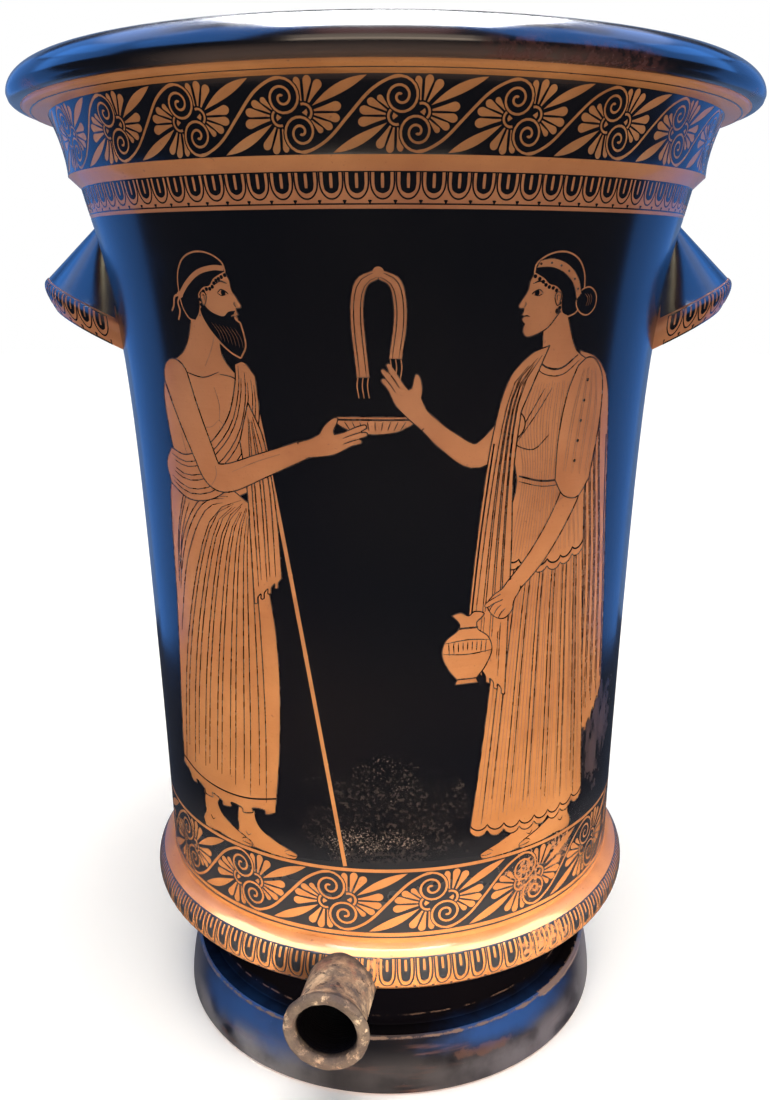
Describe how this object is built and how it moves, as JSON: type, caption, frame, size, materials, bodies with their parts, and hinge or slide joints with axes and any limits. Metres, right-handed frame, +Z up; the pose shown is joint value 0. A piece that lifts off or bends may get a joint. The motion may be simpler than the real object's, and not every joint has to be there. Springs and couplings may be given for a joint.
{
  "type": "red-figure kalathos",
  "caption": "Tall flaring clay mixing vessel on a ring foot, with a heavy round rim, two side lugs and a short drain spout at the base.",
  "frame": {"origin": "middle of the resting plane under the foot", "axes": "+Z up the vessel's axis, lugs along +X and -X, drain spout towards -Y and a little to the left"},
  "size_m": [0.38, 0.38, 0.525],
  "materials": {
    "black_gloss": "glossy black slip on fired clay, worn at the foot",
    "reserved_clay": "bare orange fired clay, softly burnished",
    "relief_line": "raised black slip lines",
    "dilute_line": "thinned brown slip lines",
    "bare_spout_clay": "grey-brown weathered clay with worn slip"
  },
  "bodies": {
    "root": {"kalathos": "black_gloss"}
  },
  "joints": []
}
